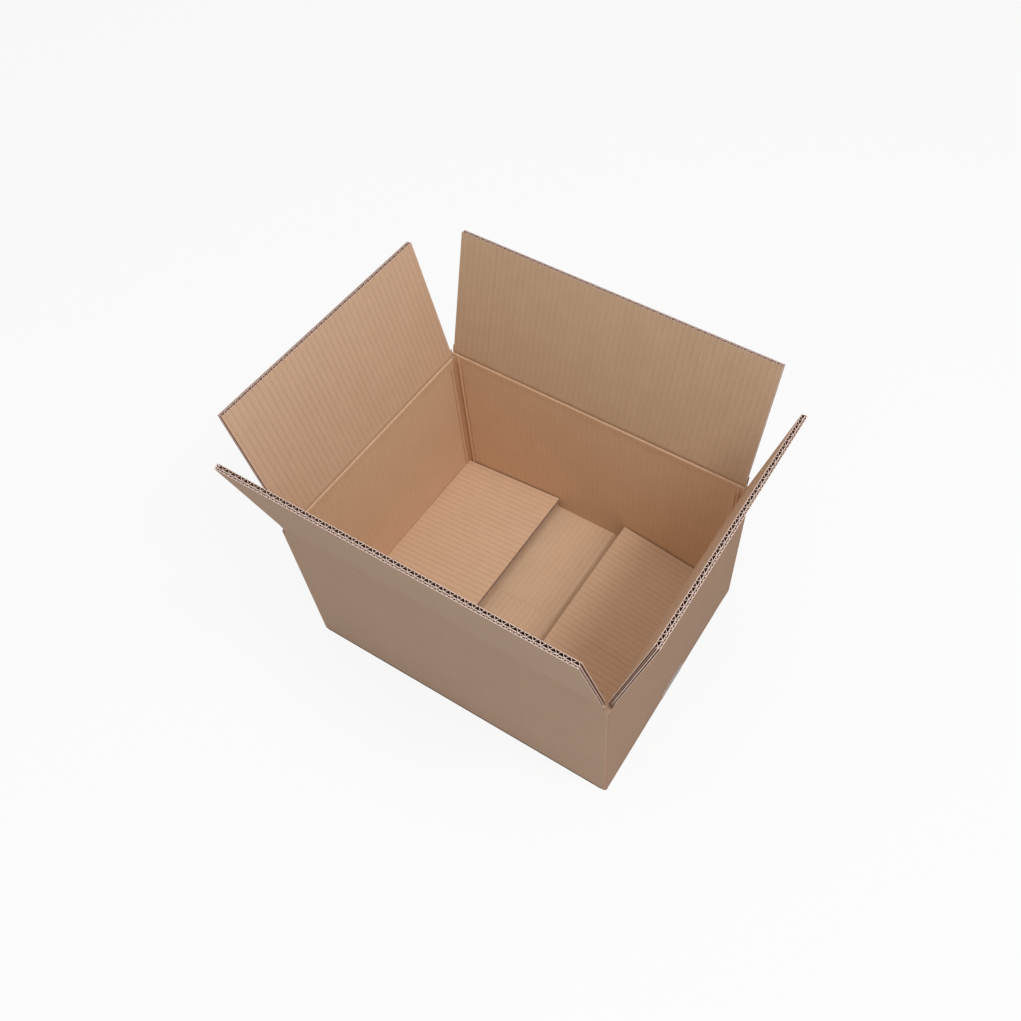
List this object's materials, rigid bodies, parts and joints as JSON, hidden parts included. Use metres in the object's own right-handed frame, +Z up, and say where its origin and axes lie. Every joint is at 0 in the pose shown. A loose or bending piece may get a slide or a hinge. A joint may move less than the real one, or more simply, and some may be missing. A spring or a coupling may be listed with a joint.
{
  "type": "corrugated shipping box with open top flaps",
  "caption": "Open kraft shipping box of double-wall corrugated board: folded top flaps that hinge, taped bottom flaps and fluted cut edges.",
  "frame": {"origin": "Centre of the footprint, on the surface that the box stands on.", "axes": "+X along the long walls, towards the right end wall; +Y from the front long wall to the back one; +Z up, out of the open top."},
  "size_m": [0.4712, 0.3871, 0.3682],
  "materials": {
    "kraft_board": "matte kraft paper",
    "clear_tape": "gloss"
  },
  "bodies": {
    "box": {"box_body": "kraft_board", "bottom_tape": "clear_tape"},
    "front_flap": {"top_flap_front": "kraft_board"},
    "back_flap": {"top_flap_back": "kraft_board"},
    "left_flap": {"top_flap_left": "kraft_board"},
    "right_flap": {"top_flap_right": "kraft_board"}
  },
  "joints": [
    {"name": "front_flap_fold", "type": "hinge", "parent": "box", "child": "front_flap", "pos_m": [0, -0.15075, 0.221], "axis": [1, 0, 0], "range_deg": [-105, 100]},
    {"name": "back_flap_fold", "type": "hinge", "parent": "box", "child": "back_flap", "pos_m": [0, 0.15075, 0.221], "axis": [-1, 0, 0], "range_deg": [-106.5, 98.5]},
    {"name": "left_flap_fold", "type": "hinge", "parent": "box", "child": "left_flap", "pos_m": [-0.19775, 0, 0.2147], "axis": [0, -1, 0], "range_deg": [-101.8, 103.2]},
    {"name": "right_flap_fold", "type": "hinge", "parent": "box", "child": "right_flap", "pos_m": [0.19775, 0, 0.2147], "axis": [0, 1, 0], "range_deg": [-104.6, 100.4]}
  ]
}
